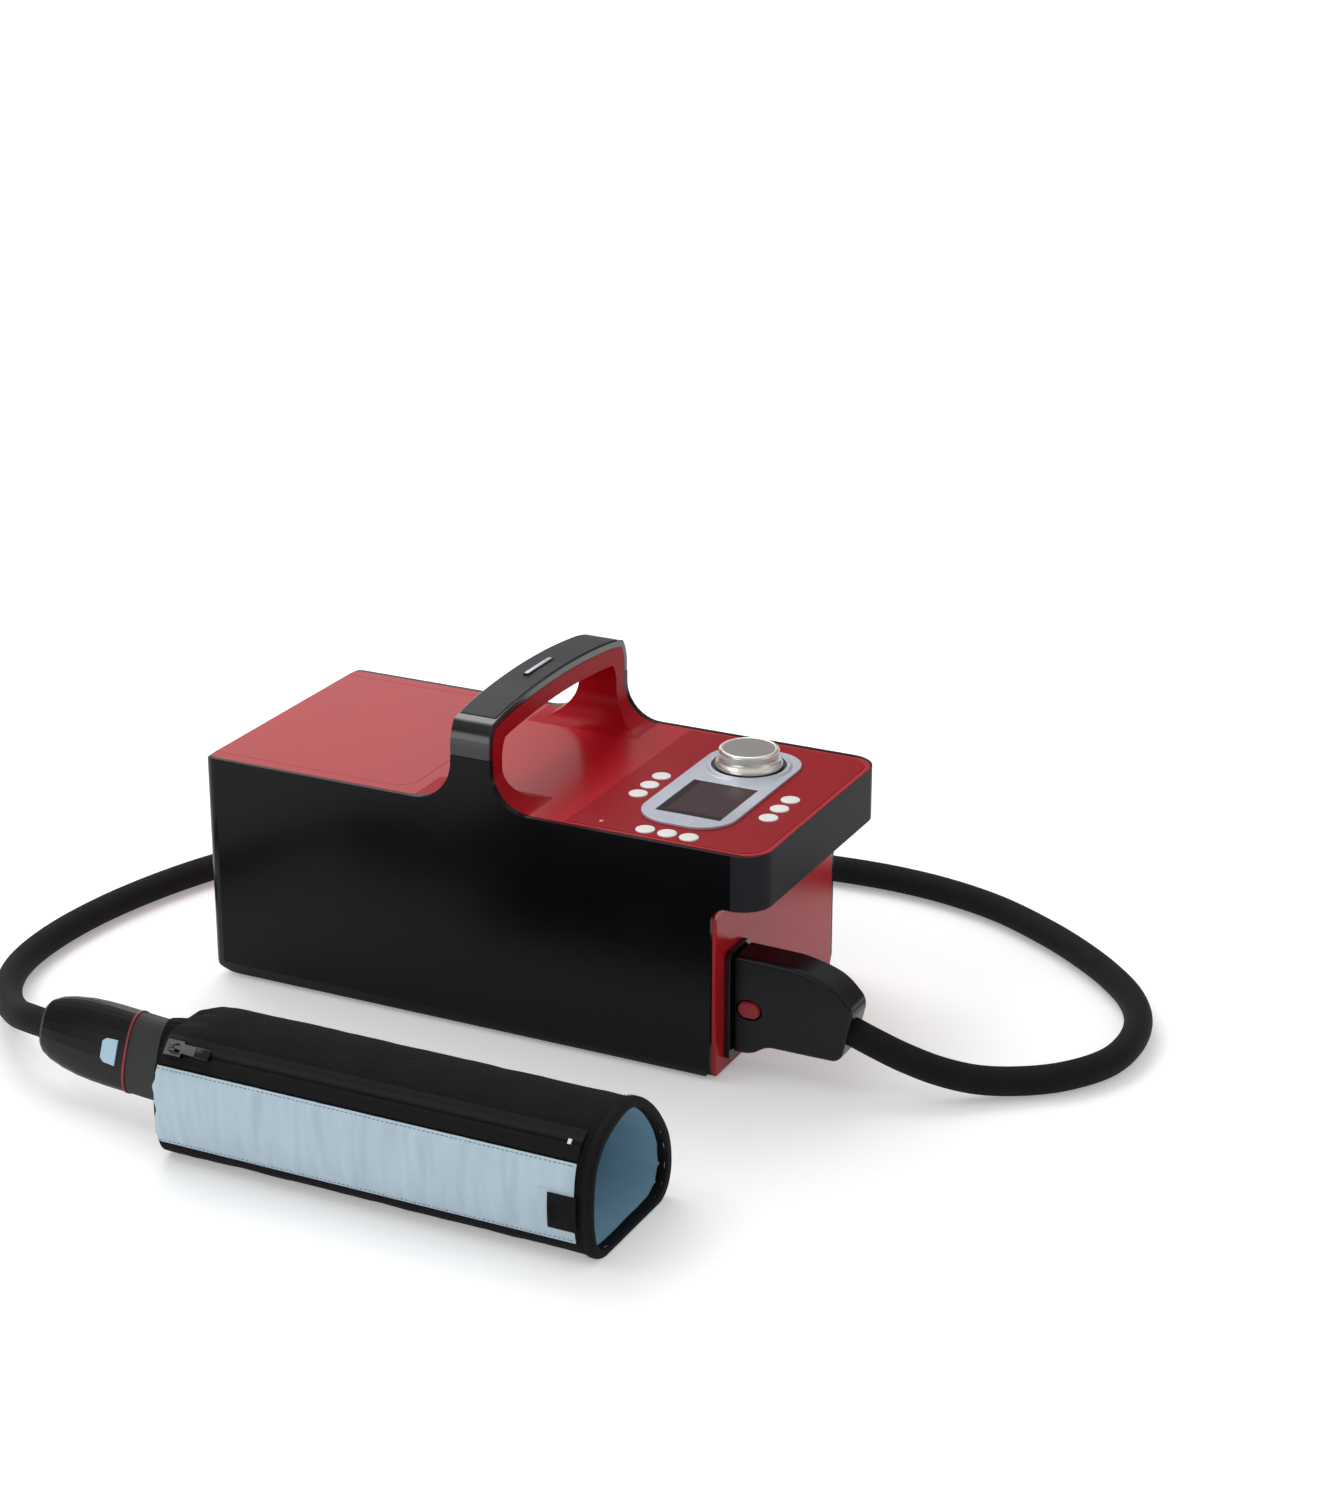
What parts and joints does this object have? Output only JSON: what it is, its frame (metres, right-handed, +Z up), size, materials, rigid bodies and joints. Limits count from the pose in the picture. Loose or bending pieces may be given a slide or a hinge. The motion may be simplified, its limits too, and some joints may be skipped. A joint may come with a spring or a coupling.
{
  "type": "hot cold therapy machine",
  "caption": "Portable cold and compression therapy unit with a lidded ice-water reservoir, carrying handle, control panel, sleeved hose and zipped limb wrap.",
  "frame": {"origin": "middle of the control unit's base, on the surface that it stands on", "axes": "+X along the unit towards its control panel and hose socket, +Y away from the side where the wrap lies, +Z up"},
  "size_m": [0.7498, 0.5968, 0.2312],
  "materials": {
    "red_gloss": "glossy moulded red",
    "black_gloss": "glossy moulded black",
    "grey_rubber": "matte dark grey rubber",
    "deep_red_film": "smooth dark red printed film",
    "silver_plastic": "satin silver coat on plastic",
    "display_window": "smoked clear window",
    "circuit_board": "green board",
    "white_plastic": "satin off-white",
    "steel": "plain steel",
    "tub_plastic": "pale grey moulded",
    "foam": "foamed insulation",
    "valve_plastic": "natural moulded",
    "black_plastic": "satin black moulded",
    "red_button": "satin red",
    "blue_button": "satin grey blue",
    "hose_sleeve": "matte black sleeve",
    "black_fabric": "black woven cloth",
    "blue_lining": "smooth blue lining cloth",
    "blue_fabric": "pale blue woven cloth"
  },
  "bodies": {
    "machine": {"inner_body": "red_gloss", "base_pan": "grey_rubber", "rubber_foot": "grey_rubber", "side_shell_front": "black_gloss", "side_shell_back": "black_gloss", "front_visor": "black_gloss", "handle_liner": "red_gloss", "handle_cover": "black_gloss", "handle_grip": "grey_rubber", "control_overlay": "deep_red_film", "display_bezel": "silver_plastic", "lcd_window": "display_window", "panel_board": "circuit_board", "status_led": "white_plastic", "lid_hinge_pin": "steel", "reservoir_tub": "tub_plastic", "insulation_foam": "foam", "water_pump": "grey_rubber", "air_compressor": "steel", "valve_block": "valve_plastic", "main_board": "circuit_board", "inner_tubes": "tub_plastic", "hose_socket": "black_gloss", "power_jack": "grey_rubber", "case_screws": "steel", "plug_shell_front": "black_plastic", "plug_shell_back": "black_plastic", "plug_nipples": "steel", "hose": "hose_sleeve", "wrap_plug_top": "black_plastic", "wrap_plug_bottom": "black_plastic", "wrap_plug_ring": "red_button", "wrap_port": "grey_rubber", "wrap_sleeve": "black_fabric", "wrap_lining": "blue_lining", "wrap_panel": "blue_fabric", "zipper_tape": "black_fabric", "wrap_binding": "black_fabric", "wrap_tab": "black_fabric"},
    "lid": {"reservoir_lid": "red_gloss", "lid_seal": "grey_rubber"},
    "encoder": {"encoder_shaft": "steel"},
    "knob": {"control_knob": "silver_plastic"},
    "hose_release": {"plug_button": "red_button"},
    "wrap_release": {"wrap_plug_button": "blue_button"},
    "slider": {"zipper_slider": "steel"},
    "pull": {"zipper_pull": "steel"},
    "button_1": {"button_1": "white_plastic"},
    "button_2": {"button_2": "white_plastic"},
    "button_3": {"button_3": "white_plastic"},
    "button_4": {"button_4": "white_plastic"},
    "button_5": {"button_5": "white_plastic"},
    "button_6": {"button_6": "white_plastic"},
    "button_7": {"button_7": "white_plastic"},
    "button_8": {"button_8": "white_plastic"},
    "button_9": {"button_9": "white_plastic"}
  },
  "joints": [
    {"name": "lid_hinge", "type": "hinge", "parent": "machine", "child": "lid", "pos_m": [-0.05275, 0, 0.1612], "axis": [0, 1, 0], "range_deg": [0, 100]},
    {"name": "encoder_press", "type": "slide", "parent": "machine", "child": "encoder", "axis": [0, 0, -1], "range_m": [0, 0.0008], "stiffness_N_per_m": 2000, "springref_m": -0.001},
    {"name": "knob_turn", "type": "hinge", "parent": "encoder", "child": "knob", "pos_m": [0.134, 0.043, 0.17], "axis": [0, 0, 1], "continuous": true},
    {"name": "button_1_press", "type": "slide", "parent": "machine", "child": "button_1", "axis": [0, 0, -1], "range_m": [0, 0.0008], "stiffness_N_per_m": 800, "springref_m": -0.001},
    {"name": "button_2_press", "type": "slide", "parent": "machine", "child": "button_2", "axis": [0, 0, -1], "range_m": [0, 0.0008], "stiffness_N_per_m": 800, "springref_m": -0.001},
    {"name": "button_3_press", "type": "slide", "parent": "machine", "child": "button_3", "axis": [0, 0, -1], "range_m": [0, 0.0008], "stiffness_N_per_m": 800, "springref_m": -0.001},
    {"name": "button_4_press", "type": "slide", "parent": "machine", "child": "button_4", "axis": [0, 0, -1], "range_m": [0, 0.0008], "stiffness_N_per_m": 800, "springref_m": -0.001},
    {"name": "button_5_press", "type": "slide", "parent": "machine", "child": "button_5", "axis": [0, 0, -1], "range_m": [0, 0.0008], "stiffness_N_per_m": 800, "springref_m": -0.001},
    {"name": "button_6_press", "type": "slide", "parent": "machine", "child": "button_6", "axis": [0, 0, -1], "range_m": [0, 0.0008], "stiffness_N_per_m": 800, "springref_m": -0.001},
    {"name": "button_7_press", "type": "slide", "parent": "machine", "child": "button_7", "axis": [0, 0, -1], "range_m": [0, 0.0008], "stiffness_N_per_m": 800, "springref_m": -0.001},
    {"name": "button_8_press", "type": "slide", "parent": "machine", "child": "button_8", "axis": [0, 0, -1], "range_m": [0, 0.0008], "stiffness_N_per_m": 800, "springref_m": -0.001},
    {"name": "button_9_press", "type": "slide", "parent": "machine", "child": "button_9", "axis": [0, 0, -1], "range_m": [0, 0.0008], "stiffness_N_per_m": 800, "springref_m": -0.001},
    {"name": "hose_release_press", "type": "slide", "parent": "machine", "child": "hose_release", "axis": [0, 1, 0], "range_m": [0, 0.0012], "stiffness_N_per_m": 1000, "springref_m": -0.001},
    {"name": "wrap_release_press", "type": "slide", "parent": "machine", "child": "wrap_release", "axis": [0.0988, 0.9403, -0.3256], "range_m": [0, 0.0015], "stiffness_N_per_m": 1000, "springref_m": -0.001},
    {"name": "zipper_run", "type": "slide", "parent": "machine", "child": "slider", "axis": [1, 0, 0], "range_m": [0, 0.25]},
    {"name": "pull_swing", "type": "hinge", "parent": "slider", "child": "pull", "pos_m": [-0.074, -0.33667, 0.07834], "axis": [0, -0.707, -0.7073], "range_deg": [0, 150]}
  ]
}
